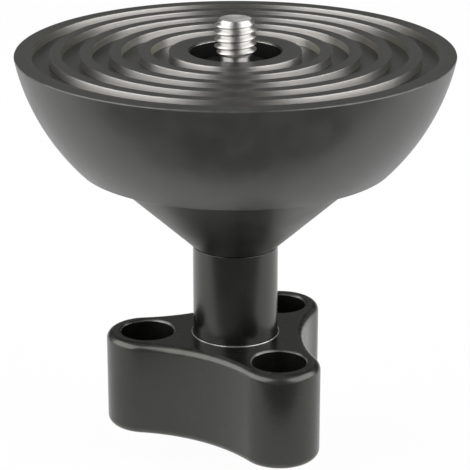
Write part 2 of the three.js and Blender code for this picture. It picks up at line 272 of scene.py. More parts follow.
class Effects:
    """Node groups that the finishes share. Each is made once and reads object coordinates."""

    broad_depth: float = 0.5
    cloud_share: float = 0.65
    patch_size: float = 3.5 * MM
    patch_range: Span = (0.15, 0.8)
    speck_pitch: float = 1.1 * MM
    speck_edge: Span = (0.14, 0.06)
    speck_gaps: float = 0.72
    dust_slope: Span = (0.3, 0.9)

    @classmethod
    @cache
    def turning_marks(cls) -> bpy.types.NodeTree:
        """Fine rings that a lathe leaves round the vertical axis.

        Returns:
            A group from a place and a pitch to the height of the marks and their tone.
        """
        wiring = GroupWiring("lathe turning marks", "Size")
        pitch = wiring.entry["Size"]
        parts = wiring.add("ShaderNodeSeparateXYZ", {0: wiring.entry["Place"]})
        squares = [wiring.product(parts[name], parts[name]) for name in "XY"]
        radius = wiring.math("SQRT", wiring.math("ADD", *squares))
        ring = wiring.add("ShaderNodeCombineXYZ", {"X": radius, "Y": parts["Z"]})[0]
        fine = wiring.noise(ring, pitch, FINE_RINGS)
        broad = wiring.noise(ring, pitch, BROAD_RINGS)
        height = wiring.math("ADD", fine, wiring.product(broad, cls.broad_depth))
        return wiring.finished(Height=height, Tone=wiring.mean(fine, broad))

    @classmethod
    @cache
    def fine_grain(cls) -> bpy.types.NodeTree:
        """The even grain of a blasted or moulded surface, with broad cloudy changes of tone.

        Returns:
            A group from a place and a grain size to the height of the grain and its tone.
        """
        wiring = GroupWiring("fine surface grain", "Size")
        place, size = wiring.entry["Place"], wiring.entry["Size"]
        grain = wiring.noise(place, size, FINE_GRAINS)
        cloud = wiring.noise(place, size, CLOUDS)
        return wiring.finished(Height=grain, Tone=wiring.mean(grain, cloud, cls.cloud_share))

    @classmethod
    @cache
    def rubbed_edges(cls) -> bpy.types.NodeTree:
        """Where the colour has worn off along the piece's rounded outer edges.

        Returns:
            A group from a place, the edge value and a strength to a mask.
        """
        wiring = GroupWiring("rubbed edges", "Edge", "Strength")
        noise = wiring.noise(wiring.entry["Place"], cls.patch_size, PATCHES)
        patches = wiring.ramp(noise, *cls.patch_range)
        return wiring.finished(Mask=wiring.product(patches, wiring.entry["Edge"], wiring.entry["Strength"]))

    @classmethod
    @cache
    def settled_dust(cls) -> bpy.types.NodeTree:
        """Sparse specks of dust on what faces up.

        Returns:
            A group from a place and an amount to a mask.
        """
        wiring = GroupWiring("settled dust", "Amount")
        pattern = {"Vector": wiring.entry["Place"], "Scale": 1 / cls.speck_pitch}
        cells = wiring.add("ShaderNodeTexVoronoi", pattern, feature="F1")
        dots = wiring.ramp(cells["Distance"], *cls.speck_edge)
        draw = wiring.add("ShaderNodeSeparateColor", {0: cells["Color"]})[0]
        few = wiring.math("GREATER_THAN", draw, cls.speck_gaps)
        normal = wiring.add("ShaderNodeNewGeometry")["Normal"]
        upward = wiring.ramp(wiring.add("ShaderNodeSeparateXYZ", {0: normal})["Z"], *cls.dust_slope)
        return wiring.finished(Mask=wiring.product(dots, few, upward, wiring.entry["Amount"]))


# Refractive index of the clear skin on anodised aluminium.
CLEAR_SKIN = 1.65

DUST: Colour = (0.42, 0.41, 0.39)
MEAN_TONE = 0.5
TONE_RANGE: Span = (0.3, 0.7)


@dataclass(frozen=True)
class Finish:
    """How one surface is coloured and worked.

    Attributes:
        name: Name of the material.
        slot: The record's slot that the finish belongs to.
        colour: Colour of the sound surface.
        bare: Colour where an edge has rubbed through.
        metallic: How metallic the sound surface is.
        roughness: Mean roughness.
        roughness_spread: How far the roughness wanders with the tone of the marks.
        specular: Specular level of the surface.
        index: Refractive index of the surface, such as 1.65 for the clear skin of anodised metal.
        tint: Colour that the gloss of a surface that isn't bare metal takes on.
        anisotropy: How far the marks stretch a highlight across them.
        marks: What the tools left in the surface.
        mark_size: Pitch of the turning marks or size of the grain.
        mark_depth: How deep they are.
        tone_spread: How far the colour wanders, as a share of it.
        rub: How strongly the rounded edges are worn, from 0 to 1.
        dust: How many specks of dust show, from 0 to 1.
    """

    name: str
    slot: Slot
    colour: Colour
    bare: Colour = (0.5, 0.5, 0.49)
    metallic: float = 0.0
    roughness: float = 0.4
    roughness_spread: float = 0.1
    specular: float = 0.5
    index: float = 1.5
    tint: Colour = (0.98, 1.0, 0.9)
    anisotropy: float = 0.0
    marks: Marks = Marks.GRAINED
    mark_size: float = 0.12 * MM
    mark_depth: float = 0.004 * MM
    tone_spread: float = 0.25
    rub: float = 0.0
    dust: float = 0.0

    @cache
    def material(self) -> bpy.types.Material:
        """Makes the node material, or gives the one made before.

        Returns:
            The material.
        """
        material, wiring = wired_material(self.name)
        place = wiring.add("ShaderNodeTexCoord")["Object"]
        tree = Effects.turning_marks() if self.marks is Marks.TURNED else Effects.fine_grain()
        marks = wiring.group(tree, Place=place, Size=self.mark_size)
        edge = wiring.add("ShaderNodeAttribute", attribute_name=RUB)["Fac"]
        worn = wiring.group(Effects.rubbed_edges(), Place=place, Edge=edge, Strength=self.rub)["Mask"]
        dusty = wiring.group(Effects.settled_dust(), Place=place, Amount=self.dust)["Mask"]
        relief = {"Strength": 1.0, "Distance": self.mark_depth, "Height": marks["Height"]}
        off_mean = wiring.math("SUBTRACT", marks["Tone"], MEAN_TONE)
        wander = wiring.product(off_mean, 2 * self.roughness_spread)
        clean = wiring.math("SUBTRACT", 1.0, dusty)
        surface = {
            "Base Color": self._colour(wiring, marks["Tone"], worn, dusty),
            "Roughness": wiring.math("ADD", wander, self.roughness),
            "Metallic": wiring.product(wiring.math("MAXIMUM", worn, self.metallic), clean),
            "Specular IOR Level": self.specular,
            "Specular Tint": (*self.tint, 1.0),
            "IOR": self.index,
            "Normal": wiring.add("ShaderNodeBump", relief)["Normal"],
        }
        if self.anisotropy:
            round_axis = wiring.add("ShaderNodeTangent", direction_type="RADIAL", axis="Z")
            surface["Tangent"] = round_axis["Tangent"]
            surface["Anisotropic"] = self.anisotropy
            surface["Anisotropic Rotation"] = QUARTER_TURN / FULL_TURN
        wiring.show(wiring.add("ShaderNodeBsdfPrincipled", surface)["BSDF"])
        return material

    def _colour(self, wiring: Wiring, tone: Socket, worn: Socket, dusty: Socket) -> Socket:
        """Mixes the colour of the surface.

        Args:
            wiring: Wiring of the material.
            tone: Tone of the marks.
            worn: Mask of what is worn.
            dusty: Mask of the dust.

        Returns:
            The colour.
        """
        dark, light = ([part * (1 + way * self.tone_spread) for part in self.colour] for way in (-1, 1))
        sound = wiring.mix(wiring.ramp(tone, *TONE_RANGE), (*dark, 1.0), (*light, 1.0))
        return wiring.mix(dusty, wiring.mix(worn, sound, (*self.bare, 1.0)), (*DUST, 1.0))


BALL_SATIN = Finish("satin black anodised ball", Slot.ANODISED, (0.025, 0.025, 0.0245), roughness=0.35,
                    index=CLEAR_SKIN, tint=(0.99, 1.0, 0.97), mark_size=0.1 * MM,
                    mark_depth=0.003 * MM, rub=0.12, dust=0.15)
PLATE_LANDS = Finish("faced black anodised lands", Slot.ANODISED, (0.03, 0.03, 0.0278), roughness=0.34,
                     specular=0.56, index=CLEAR_SKIN, anisotropy=0.5, marks=Marks.TURNED,
                     mark_size=0.16 * MM, mark_depth=0.003 * MM, rub=0.1, dust=0.3)
# A bright metallic copy of the black anodised finish for the upright groove walls: a painted sheen that
# stands in for their highlights.
GROOVE_WALLS_PAINTED_SHEEN = Finish("turned anodised groove walls brightened as painted sheen", Slot.ANODISED, (0.66, 0.64, 0.618),
                      metallic=1.0, roughness=0.37, roughness_spread=0.06, anisotropy=0.8,
                      marks=Marks.TURNED, mark_size=0.16 * MM, mark_depth=0.002 * MM,
                      tone_spread=0.15, rub=0.1)
# The anodised finish made darker and duller in the deep well: painted shade in the recess.
WELL_PAINTED_SHADE = Finish("anodised well darkened as painted shade", Slot.ANODISED, (0.005, 0.005, 0.005), roughness=0.6,
                    specular=0.13, index=CLEAR_SKIN, marks=Marks.TURNED, mark_size=0.2 * MM)
# Matt black anodised, and made darker and less glossy still as painted shade under the ball.
CONE_MATT_PAINTED_SHADE = Finish("matt black anodised cone darkened as painted shade", Slot.ANODISED, (0.007, 0.007, 0.0066), specular=0.38,
                   index=CLEAR_SKIN, mark_depth=0.003 * MM, rub=0.1)
STEM_SATIN = Finish("satin black anodised stem", Slot.ANODISED, (0.006, 0.006, 0.0057), roughness=0.24,
                    index=CLEAR_SKIN, mark_size=0.09 * MM, mark_depth=0.001 * MM, rub=0.03)
KNOB_SATIN = Finish("satin black anodised knob", Slot.ANODISED, (0.0055, 0.0055, 0.005), roughness=0.27,
                    specular=0.47, index=CLEAR_SKIN, mark_size=0.1 * MM, mark_depth=0.001 * MM,
                    rub=1.0, dust=0.3)
OXIDE = Finish("black oxide steel", Slot.OXIDE, (0.012, 0.012, 0.0125), metallic=0.6, roughness=0.42,
               marks=Marks.TURNED, mark_size=0.15 * MM, rub=0.2)
STAINLESS = Finish("bright turned stainless", Slot.STAINLESS, (0.82, 0.805, 0.785), metallic=1.0,
                   roughness=0.46, roughness_spread=0.06, anisotropy=0.85, marks=Marks.TURNED,
                   mark_size=0.1 * MM, mark_depth=0.002 * MM, tone_spread=0.06)
STAINLESS_END = Finish("sawn stainless end", Slot.STAINLESS, (0.72, 0.7, 0.69), metallic=1.0,
                       roughness=0.62, roughness_spread=0.15, mark_size=0.05 * MM,
                       mark_depth=0.006 * MM)
# A darker copy of the stainless for the downward lower thread flanks: painted shade under each crest.
STAINLESS_PAINTED_SHADE = Finish("stainless with thread oil on it", Slot.STAINLESS, (0.28, 0.27, 0.255),
                        metallic=1.0, roughness=0.32, marks=Marks.TURNED, mark_size=0.1 * MM,
                        mark_depth=0.002 * MM, tone_spread=0.3)
ZINC = Finish("bright zinc plate", Slot.ZINC, (0.55, 0.56, 0.57), metallic=1.0, roughness=0.3,
              mark_size=0.3 * MM, tone_spread=0.12)
BRASS = Finish("turned brass", Slot.BRASS, (0.62, 0.45, 0.2), metallic=1.0, roughness=0.3,
               marks=Marks.TURNED, mark_size=0.15 * MM, tone_spread=0.1)
ACETAL = Finish("natural acetal", Slot.ACETAL, (0.78, 0.76, 0.7), roughness=0.45, specular=0.4,
                mark_size=0.4 * MM, tone_spread=0.03)


@dataclass(frozen=True)
class Corner:
    """A corner of a half section.

    Attributes:
        radius: Distance from the axis.
        height: Height of the corner.
        rounding: Radius of the round on it, or zero for a sharp or smooth point.
    """

    radius: float
    height: float
    rounding: float = 0.0


def arc(centre: Point, radius: float, start: float, end: float, steps: int) -> list[Point]:
    """Points along an arc, with its two ends.

    Args:
        centre: Centre of the arc.
        radius: Radius of the arc.
        start: Angle of its start from the first axis.
        end: Angle of its end.
        steps: How many pieces it is cut into.

    Returns:
        The points.
    """
    points = []
    for step in range(steps + 1):
        angle = start + (end - start) * step / steps
        points.append((centre[0] + radius * math.cos(angle), centre[1] + radius * math.sin(angle)))
    return points


def softened(corners: Sequence[Corner], closed: bool, steps: int = 4) -> list[tuple[Vector, float]]:
    """Rounds the corners of a half section that runs against the clock.

    Args:
        corners: The corners, in order.
        closed: Whether the last corner joins the first.
        steps: How many pieces each round is cut into.

    Returns:
        Points in the XZ plane, each with 1 on the round of an outer corner and 0 elsewhere.
    """
    count = len(corners)
    places = [Vector((corner.radius, 0.0, corner.height)) for corner in corners]
    points = []
    for index, corner in enumerate(corners):
        inside = closed or 0 < index < count - 1
        if not corner.rounding or not inside:
            points.append((places[index], 0.0))
            continue
        here = places[index]
        back = (places[index - 1] - here).normalized()
        ahead = (places[(index + 1) % count] - here).normalized()
        half = back.angle(ahead) / 2
        centre = here + (back + ahead).normalized() * corner.rounding / math.sin(half)
        reach = corner.rounding / math.tan(half)
        first = here + back * reach - centre
        last = here + ahead * reach - centre
        outer = 1.0 if back.cross(ahead).y > 0 else 0.0
        for step in range(steps + 1):
            spoke = first.lerp(last, step / steps).normalized() * corner.rounding
            points.append((centre + spoke, outer if 0 < step < steps else 0.0))
    return points


def profile(corners: Sequence[Corner]) -> list[Point]:
    """Radius and height of each point of a half section that isn't closed."""
    return [(place.x, place.z) for place, _ in softened(corners, closed=False)]


def new_mesh() -> BMesh:
    """An empty mesh that can hold the wear of its edges."""
    mesh = bmesh.new()
    mesh.verts.layers.float.new(RUB)
    return mesh


def turned(corners: Sequence[Corner], steps: int = 96, turn: float = FULL_TURN) -> BMesh:
    """Turns a closed half section round the vertical axis.

    Args:
        corners: The half section.
        steps: How many flats it is cut into.
        turn: How far it turns.

    Returns:
        The turned mesh, facing out.
    """
    mesh = new_mesh()
    rub = mesh.verts.layers.float[RUB]
    verts = []
    for place, outer in softened(corners, closed=True):
        vert = mesh.verts.new(place)
        vert[rub] = outer
        verts.append(vert)
    edges = [mesh.edges.new(pair) for pair in zip(verts, verts[1:] + verts[:1])]
    bmesh.ops.spin(mesh, geom=verts + edges, cent=(0, 0, 0), axis=(0, 0, 1), angle=turn,
                   steps=steps, use_merge=turn == FULL_TURN)
    return tidied(mesh)


def tidied(mesh: BMesh) -> BMesh:
    """Welds a mesh's doubled points and turns its faces out.

    Args:
        mesh: The mesh.

    Returns:
        The same mesh.
    """
    bmesh.ops.remove_doubles(mesh, verts=mesh.verts, dist=WELD)
    bmesh.ops.recalc_face_normals(mesh, faces=mesh.faces)
    return mesh


def new_loop(geometry: Sequence[object]) -> tuple[list[Vert], list[Edge]]:
    """Picks the new points and the edges between them out of an operator's result.

    Args:
        geometry: What the operator gave back.

    Returns:
        The points and the edges of the new loop.
    """
    verts = [item for item in geometry if isinstance(item, Vert)]
    known = set(verts)
    edges = [item for item in geometry if isinstance(item, Edge) and known.issuperset(item.verts)]
    return verts, edges


def sink(mesh: BMesh, edges: list[Edge], steps: Sequence[Point],
         centre: Vector = Vector()) -> list[Edge]:
    """Draws a round loop of edges on through further rings.

    Args:
        mesh: The mesh that the loop belongs to.
        edges: The loop.
        steps: Radius and height of each further ring.
        centre: A point on the rings' axis.

    Returns:
        The edges of the last ring.
    """
    for radius, height in steps:
        verts, edges = new_loop(bmesh.ops.extrude_edge_only(mesh, edges=edges)["geom"])
        for vert in verts:
            spoke = Vector((vert.co.x - centre.x, vert.co.y - centre.y, 0.0)).normalized()
            vert.co = Vector((centre.x, centre.y, height)) + spoke * radius
    return edges


def capped(mesh: BMesh, edges: list[Edge], steps: Sequence[Point]) -> None:
    """Draws a round loop on through further rings and closes the last one."""
    bmesh.ops.holes_fill(mesh, edges=sink(mesh, edges, steps))


def ring_edges(mesh: BMesh, radius: float, height: float, steps: int,
               centre: Vector = Vector()) -> list[Edge]:
    """Adds a round loop of edges.

    Args:
        mesh: The mesh that takes it.
        radius: Its radius.
        height: Its height.
        steps: How many edges it has.
        centre: A point on its axis.

    Returns:
        The edges.
    """
    place = Matrix.Translation((centre.x, centre.y, height))
    made = bmesh.ops.create_circle(mesh, cap_ends=False, radius=radius, segments=steps, matrix=place)
    return list(dict.fromkeys(edge for vert in made["verts"] for edge in vert.link_edges))


def lies_at(edge: Edge, height: float) -> bool:
    """Whether an edge is level and at a height."""
    return all(abs(vert.co.z - height) < WELD for vert in edge.verts)


def hexagon_edges(mesh: BMesh, across: float, height: float, sides: int = 6,
                  cuts: int = 7) -> list[Edge]:
    """Adds a hexagonal loop whose sides are cut up, so that it can be drawn out to a ring.

    Args:
        mesh: The mesh that takes it.
        across: Distance across the flats.
        height: Its height.
        sides: How many sides it has.
        cuts: How many cuts each side has.

    Returns:
        The edges.
    """
    edges = ring_edges(mesh, across / 2 / math.cos(math.pi / sides), height, sides)
    bmesh.ops.subdivide_edges(mesh, edges=edges, cuts=cuts)
    return [edge for edge in mesh.edges if edge.is_wire and lies_at(edge, height)]


def socket_edges(mesh: BMesh, across: float, floor: float, mouth: float) -> list[Edge]:
    """Adds a hexagonal socket.

    Args:
        mesh: The mesh that takes it.
        across: Distance across the flats.
        floor: Height of its floor.
        mouth: Height of its mouth.

    Returns:
        The edges of its mouth.
    """
    edges = hexagon_edges(mesh, across, floor)
    bmesh.ops.holes_fill(mesh, edges=edges)
    verts, edges = new_loop(bmesh.ops.extrude_edge_only(mesh, edges=edges)["geom"])
    for vert in verts:
        vert.co.z = mouth
    return edges


def shifted(mesh: BMesh, height: float) -> BMesh:
    """Lifts a mesh."""
    bmesh.ops.translate(mesh, verts=mesh.verts, vec=(0, 0, height))
    return mesh


def cut(mesh: BMesh, tool: BMesh) -> BMesh:
    """Takes one closed mesh away from another.

    Args:
        mesh: What is cut.
        tool: What is taken away.

    Returns:
        The cut mesh.
    """
    objects = []
    for name, source in (("blank", mesh), ("cutter", tool)):
        data = bpy.data.meshes.new(name)
        source.to_mesh(data)
        source.free()
        item = bpy.data.objects.new(name, data)
        bpy.context.scene.collection.objects.link(item)
        objects.append(item)
    blank, cutter = objects
    modifier = blank.modifiers.new("cut", "BOOLEAN")
    modifier.operation = "DIFFERENCE"
    modifier.solver = "MANIFOLD"
    modifier.object = cutter
    bpy.context.view_layer.update()
    result = bmesh.new()
    result.from_object(blank, bpy.context.evaluated_depsgraph_get())
    for item in objects:
        data = item.data
        bpy.data.objects.remove(item)
        bpy.data.meshes.remove(data)
    return tidied(result)


def drilled(mesh: BMesh, radius: float, depth: float, steps: int, place: Matrix) -> BMesh:
    """Drills a round hole in a mesh.

    Args:
        mesh: What is drilled.
        radius: Radius of the hole.
        depth: Length of the drill.
        steps: How many flats the hole has.
        place: Where the middle of the drill is, and how the drill is turned.

    Returns:
        The drilled mesh.
    """
    drill = bmesh.new()
    bmesh.ops.create_cone(drill, cap_ends=True, segments=steps, radius1=radius, radius2=radius,
                          depth=depth, matrix=place)
    return cut(tidied(mesh), tidied(drill))


@dataclass(frozen=True)
class Thread:
    """A right-handed sixty degree thread.

    Attributes:
        major: Radius over the crests.
        pitch: Rise in a turn.
        depth_share: Depth of the thread as a share of the pitch.
        crest_share: Flat on the crest as a share of the pitch.
        root_share: Flat in the root as a share of the pitch.
        round_share: Radius of the rounds as a share of the flat on the crest.
        round_steps: How many pieces each round is cut into.
        steps: How many flats a turn is cut into.
        spare_turns: Turns that are wound below the lower end and cut off again.
        seam: How far the ends of two turns may lie apart and still be welded.
    """

    major: float
    pitch: float
    depth_share: float = 0.574
    crest_share: float = 0.17
    root_share: float = 0.25
    round_share: float = 1 / 3
    round_steps: int = 3
    steps: int = 72
    spare_turns: int = 2
    seam: float = 0.002 * MM

    @property
    def root(self) -> float:
        """Radius in the root of the thread."""
        return self.major - self.depth_share * self.pitch

    def section(self) -> list[Corner]:
        """The half section of one turn, from root to root.

        Returns:
            Its corners, upwards.
        """
        flat, crest_flat = self.root_share * self.pitch, self.crest_share * self.pitch
        crest = flat + (self.pitch - crest_flat - flat) / 2
        small = crest_flat * self.round_share
        return [
            Corner(self.root, 0.0),
            Corner(self.root, flat / 2),
            Corner(self.root, flat, small),
            Corner(self.major, crest, small),
            Corner(self.major, crest + crest_flat, small),
            Corner(self.root, self.pitch),
        ]

    def surface(self, bottom: float, top: float,
                limit: Callable[[float], float]) -> tuple[BMesh, list[Edge], list[Edge]]:
        """Winds the thread's surface, held inside a limit and cut level at both ends.

        Args:
            bottom: Height of the lower end.
            top: Height of the upper end.
            limit: Greatest radius at a height.

        Returns:
            The mesh and the loops of edges at its lower and its upper end.
        """
        mesh = new_mesh()
        rub = mesh.verts.layers.float[RUB]
        start = Vector((0, 0, bottom - self.spare_turns * self.pitch))
        verts = []
        for place, outer in softened(self.section(), closed=False, steps=self.round_steps):
            vert = mesh.verts.new(place + start)
            vert[rub] = outer
            verts.append(vert)
        edges = [mesh.edges.new(pair) for pair in zip(verts, verts[1:])]
        flanks = [edge for edge in edges if edge.calc_length() > self.depth_share * self.pitch / 2]
        bmesh.ops.subdivide_edges(mesh, edges=flanks, cuts=1)
        bmesh.ops.spin(mesh, geom=mesh.verts[:] + mesh.edges[:], cent=(0, 0, 0), axis=(0, 0, 1),
                       dvec=(0, 0, self.pitch / self.steps), angle=FULL_TURN, steps=self.steps)
        winding = mesh.verts[:] + mesh.edges[:] + mesh.faces[:]
        turns = math.ceil((top - bottom) / self.pitch) + self.spare_turns
        for turn in range(1, turns + 1):
            made = bmesh.ops.duplicate(mesh, geom=winding)["geom"]
            verts = [item for item in made if isinstance(item, Vert)]
            bmesh.ops.translate(mesh, verts=verts, vec=(0, 0, turn * self.pitch))
        bmesh.ops.remove_doubles(mesh, verts=mesh.verts, dist=self.seam)
        loops = []
        for height, upward in ((bottom, False), (top, True)):
            made = bmesh.ops.bisect_plane(mesh, geom=mesh.verts[:] + mesh.edges[:] + mesh.faces[:],
                                          dist=WELD, plane_co=(0, 0, height), plane_no=(0, 0, 1),
                                          clear_inner=not upward, clear_outer=upward)
            loops.append([item for item in made["geom_cut"] if isinstance(item, Edge)])
        for vert in mesh.verts:
            radius = math.hypot(vert.co.x, vert.co.y)
            allowed = limit(vert.co.z)
            if radius > allowed:
                vert.co.x *= allowed / radius
                vert.co.y *= allowed / radius
        return mesh, *loops


def place_piece(name: str, mesh: BMesh, node: str, body: Body, finishes: Sequence[Finish],
                rule: Callable[[Face], Finish] | None = None) -> None:
    """Makes a mesh a finished piece that stands for a CAD node and rides on its body.

    Args:
        name: Name of the piece.
        mesh: Its mesh, which is used up.
        node: The CAD node that it stands for.
        body: The body that it rides on.
        finishes: Its finishes, the main one first.
        rule: Which finish a face takes, where there are several.
    """
    for face in mesh.faces:
        face.smooth = True
        face.material_index = finishes.index(rule(face)) if rule else 0
    for edge in mesh.edges:
        if len(edge.link_faces) == 2 and edge.calc_face_angle() > SHARP:
            edge.smooth = False
    data = bpy.data.meshes.new(name)
    mesh.to_mesh(data)
    mesh.free()
    for finish in finishes:
        data.materials.append(finish.material())
    piece = bpy.data.objects.new(name, data)
    bpy.context.scene.collection.objects.link(piece)
    normals = piece.modifiers.new("even faces", "WEIGHTED_NORMAL")
    normals.keep_sharp = True
    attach(piece, body.value)
    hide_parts(node)
    log.info("%s: %d faces on %s", name, len(data.polygons), body.value)


def place_ring(name: str, node: str, body: Body, finish: Finish, radii: Span, edge: float) -> None:
    """Places a flat ring as high as its CAD node, with rounded edges.

    Args:
        name: Name of the piece.
        node: The CAD node that it stands for.
        body: The body that it rides on.
        finish: Its finish.
        radii: Radius of its hole and outer radius.
        edge: Radius of the rounds outside, twice that of the ones in the hole.
    """
    inner, outer = radii
    mesh = turned([
        Corner(inner, low(node), edge / 2),
        Corner(outer, low(node), edge),
        Corner(outer, high(node), edge),
        Corner(inner, high(node), edge / 2),
    ])
    place_piece(name, mesh, node, body, (finish,))


@dataclass(frozen=True)
class GrubScrew:
    """A headless screw with a hexagonal socket in its outer end.

    Attributes:
        radius: Radius of the screw.
        length: Its length.
        socket: Distance across the flats of the socket.
        socket_depth: Depth of the socket.
        bevel_share: Bevel on its ends as a share of its radius.
    """

    radius: float
    length: float
    socket: float
    socket_depth: float
    bevel_share: float = 1 / 6

    def mesh(self, place: Matrix) -> BMesh:
        """Makes the screw.

        Args:
            place: Where its inner end is, and how its axis is turned from the vertical.

        Returns:
            The mesh.
        """
        bevel = self.radius * self.bevel_share
        mesh = new_mesh()
        mouth = socket_edges(mesh, self.socket, self.length - self.socket_depth, self.length)
        capped(mesh, mouth, [
            (self.radius - bevel, self.length),
            (self.radius, self.length - bevel),
            (self.radius, bevel),
            (self.radius - bevel, 0.0),
        ])
        bmesh.ops.transform(tidied(mesh), verts=mesh.verts, matrix=place)
        return mesh


@dataclass
class HalfBall:
    """The ball section with its ring grooves, its well for the stud and its pocket below."""

    radius: float = 50 * MM
    centre_rise: float = 9.5 * MM
    foot_angle: float = math.radians(44.267)
    rim_round: float = 0.35 * MM
    groove_count: int = 5
    groove_width: float = 4 * MM
    groove_depth: float = 2 * MM
    groove_edge: float = 0.12 * MM
    groove_root: float = 0.15 * MM
    outer_land: float = 3.8 * MM
    centre_land: float = 4.6 * MM
    well_radius: float = 10.2 * MM
    well_depth: float = 6.6 * MM
    well_edge: float = 0.35 * MM
    plate: float = 9 * MM
    web: float = 6.4 * MM
    boss_radius: float = 15 * MM
    edge_wall: float = 2.6 * MM
    pocket_corner: float = 3 * MM
    stud_hole: float = 6.2 * MM
    small_round: float = 0.25 * MM
    arc_steps: int = 44
    steps: int = 168
    # A face is level above the one value of its normal's height and upright below the other.
    level_normal: float = 0.9
    upright_normal: float = 0.5

    @property
    def rim(self) -> float:
        """Radius of the top face."""
        return math.sqrt(self.radius ** 2 - self.centre_rise ** 2)

    def section(self) -> list[Corner]:
        """The half section, with heights below the top face.

        Returns:
            Its corners, against the clock.
        """
        foot = self.radius * math.cos(self.foot_angle)
        height = self.radius * math.sin(self.foot_angle) - self.centre_rise
        pocket = foot - self.edge_wall
        under = -(self.well_depth + self.web)
        rise = math.asin(self.centre_rise / self.radius)
        outside = arc((0.0, self.centre_rise), self.radius, -self.foot_angle, -rise, self.arc_steps)
        spread = self.rim - self.outer_land - self.groove_width - self.well_radius - self.centre_land
        grooves = []
        for index in range(self.groove_count):
            outer = self.rim - self.outer_land - index * spread / (self.groove_count - 1)
            inner = outer - self.groove_width
            grooves += [
                Corner(outer, 0.0, self.groove_edge),
                Corner(outer, -self.groove_depth, self.groove_root),
                Corner(inner, -self.groove_depth, self.groove_root),
                Corner(inner, 0.0, self.groove_edge),
            ]
        return [
            Corner(self.stud_hole, under, self.small_round),
            Corner(self.boss_radius, under, self.small_round),
            Corner(self.boss_radius, -self.plate, self.small_round),
            Corner(pocket, -self.plate, self.pocket_corner),
            Corner(pocket, -height, self.small_round),
            Corner(foot, -height, self.small_round),
            *(Corner(*point) for point in outside[1:-1]),
            Corner(self.rim, 0.0, self.rim_round),
            *grooves,
            Corner(self.well_radius + self.well_edge, 0.0, self.groove_edge),
            Corner(self.well_radius, -self.well_edge, self.groove_edge),
            Corner(self.well_radius, -self.well_depth, self.small_round),
            Corner(self.stud_hole, -self.well_depth, self.small_round),
        ]

    def build(self) -> None:
        """Builds and dresses the ball."""
        top = high("half_ball")
        land = self.rim - self.outer_land / 2
        groove_floor = top - self.groove_depth - self.small_round
        well_floor = top - self.well_depth - self.small_round

        def part_of(face: Face) -> Finish:
            """Tells ball, land, groove wall and well apart.

            Args:
                face: A face of the ball.

            Returns:
                Its finish, by where it lies and how it stands.
            """
            middle = face.calc_center_median()
            radius = math.hypot(middle.x, middle.y)
            # The well's faces take the darker finish, painted shade in the recess.
            if radius < self.well_radius + WELD and middle.z > well_floor:
                return WELL_PAINTED_SHADE
            if middle.z < groove_floor or (radius > land and face.normal.z < self.level_normal):
                return BALL_SATIN
            # Upright faces in the grooves take the bright metallic copy, a painted sheen.
            return GROOVE_WALLS_PAINTED_SHEEN if abs(face.normal.z) < self.upright_normal else PLATE_LANDS

        mesh = shifted(turned(self.section(), self.steps), top)
        place_piece("ball_with_grooves", mesh, "half_ball", Body.BALL,
                    (BALL_SATIN, PLATE_LANDS, GROOVE_WALLS_PAINTED_SHEEN, WELL_PAINTED_SHADE), part_of)


